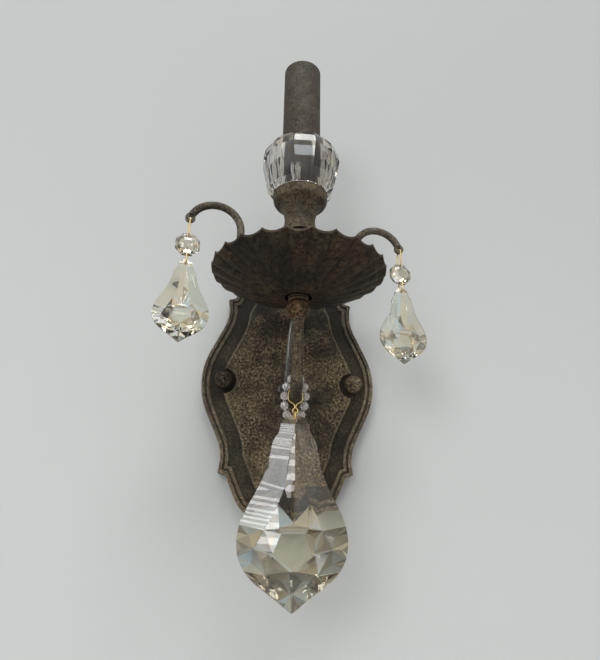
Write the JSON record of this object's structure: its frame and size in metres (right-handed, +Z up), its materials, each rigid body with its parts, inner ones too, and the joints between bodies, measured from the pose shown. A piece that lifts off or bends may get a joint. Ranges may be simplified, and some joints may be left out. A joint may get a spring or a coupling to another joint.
{
  "type": "crystal wall sconce",
  "caption": "Wall sconce with a cartouche backplate, low-slung arm, fluted dish, crystal cup, candle sleeve, side scrolls and hanging cut-glass drops.",
  "frame": {"origin": "middle of the backplate on the wall, which is also the middle of the mounting strap's two slots", "axes": "+Z up, +X to the right as seen from the room, +Y into the wall; the light stands out along -Y"},
  "size_m": [0.1642, 0.1284, 0.3428],
  "materials": {
    "aged_bronze": "mottled antique bronze",
    "sleeve_paint": "satin speckled bronze paint",
    "zinc_steel": "zinc plated",
    "green_screw": "green dyed zinc",
    "crystal": "cut and polished",
    "gold_wire": "bright",
    "brass_shell": "satin",
    "socket_plastic": "matt",
    "lead_plastic": "gloss",
    "rubber_washer": "matt"
  },
  "bodies": {
    "frame": {"backplate": "aged_bronze", "mounting_strap": "zinc_steel", "strap_studs": "zinc_steel", "stud_nuts": "zinc_steel", "ground_screw": "green_screw", "main_arm": "aged_bronze", "arm_washer": "zinc_steel", "arm_nut": "zinc_steel", "coupling_ball": "aged_bronze", "stem_tube": "zinc_steel", "ringed_collar": "aged_bronze", "fluted_dish": "aged_bronze", "arm_hub": "aged_bronze", "stem_column": "aged_bronze", "urn_cup": "aged_bronze", "crystal_cup": "crystal", "cup_washer": "rubber_washer", "cup_nut": "zinc_steel", "socket_bracket": "zinc_steel", "socket_body": "socket_plastic", "screw_shell": "brass_shell", "centre_contact": "brass_shell", "lamp_lead": "lead_plastic", "lead_bushing": "lead_plastic", "garland_beads": "crystal", "garland_wire": "gold_wire", "hanger_wire": "gold_wire", "side_arm_left": "aged_bronze", "side_arm_right": "aged_bronze"},
    "candle_sleeve": {"candle_sleeve": "sleeve_paint"},
    "cap_nut_left": {"cap_nut_left": "aged_bronze"},
    "cap_nut_right": {"cap_nut_right": "aged_bronze"},
    "jump_link": {"jump_link": "gold_wire"},
    "large_drop": {"large_drop": "crystal"},
    "upper_link_left": {"upper_link_left": "gold_wire"},
    "octagon_left": {"octagon_left": "crystal", "lower_link_left": "gold_wire"},
    "small_drop_left": {"small_drop_left": "crystal"},
    "upper_link_right": {"upper_link_right": "gold_wire"},
    "octagon_right": {"octagon_right": "crystal", "lower_link_right": "gold_wire"},
    "small_drop_right": {"small_drop_right": "crystal"}
  },
  "joints": [
    {"name": "candle_sleeve_lift", "type": "slide", "parent": "frame", "child": "candle_sleeve", "axis": [0, 0, 1], "range_m": [0, 0.1]},
    {"name": "cap_nut_left_turn", "type": "hinge", "parent": "frame", "child": "cap_nut_left", "pos_m": [-0.04445, -0.009, 0], "axis": [0, -1, 0], "continuous": true},
    {"name": "cap_nut_right_turn", "type": "hinge", "parent": "frame", "child": "cap_nut_right", "pos_m": [0.04445, -0.009, 0], "axis": [0, -1, 0], "continuous": true},
    {"name": "upper_link_left_swing", "type": "hinge", "parent": "frame", "child": "upper_link_left", "pos_m": [-0.06671, -0.08632, 0.0774], "axis": [-0.9869, -0.1616, 0], "range_deg": [-25, 25]},
    {"name": "octagon_left_swing", "type": "hinge", "parent": "upper_link_left", "child": "octagon_left", "pos_m": [-0.06671, -0.08632, 0.0667], "axis": [-0.1616, 0.9869, 0], "range_deg": [-12, 30]},
    {"name": "small_drop_left_swing", "type": "hinge", "parent": "octagon_left", "child": "small_drop_left", "pos_m": [-0.06671, -0.08632, 0.0488], "axis": [-0.1616, 0.9869, 0], "range_deg": [-12, 30]},
    {"name": "upper_link_right_swing", "type": "hinge", "parent": "frame", "child": "upper_link_right", "pos_m": [0.06671, -0.06448, 0.0774], "axis": [0.9869, 0.1616, 0], "range_deg": [-25, 25]},
    {"name": "octagon_right_swing", "type": "hinge", "parent": "upper_link_right", "child": "octagon_right", "pos_m": [0.06671, -0.06448, 0.0667], "axis": [0.1616, -0.9869, 0], "range_deg": [-12, 30]},
    {"name": "small_drop_right_swing", "type": "hinge", "parent": "octagon_right", "child": "small_drop_right", "pos_m": [0.06671, -0.06448, 0.0488], "axis": [0.1616, -0.9869, 0], "range_deg": [-12, 30]},
    {"name": "jump_link_swing", "type": "hinge", "parent": "frame", "child": "jump_link", "pos_m": [0, -0.0695, -0.0336], "axis": [1, 0, 0], "range_deg": [-20, 20]},
    {"name": "large_drop_swing", "type": "hinge", "parent": "jump_link", "child": "large_drop", "pos_m": [0, -0.0695, -0.0364], "axis": [0, 1, 0], "range_deg": [-30, 30]}
  ]
}
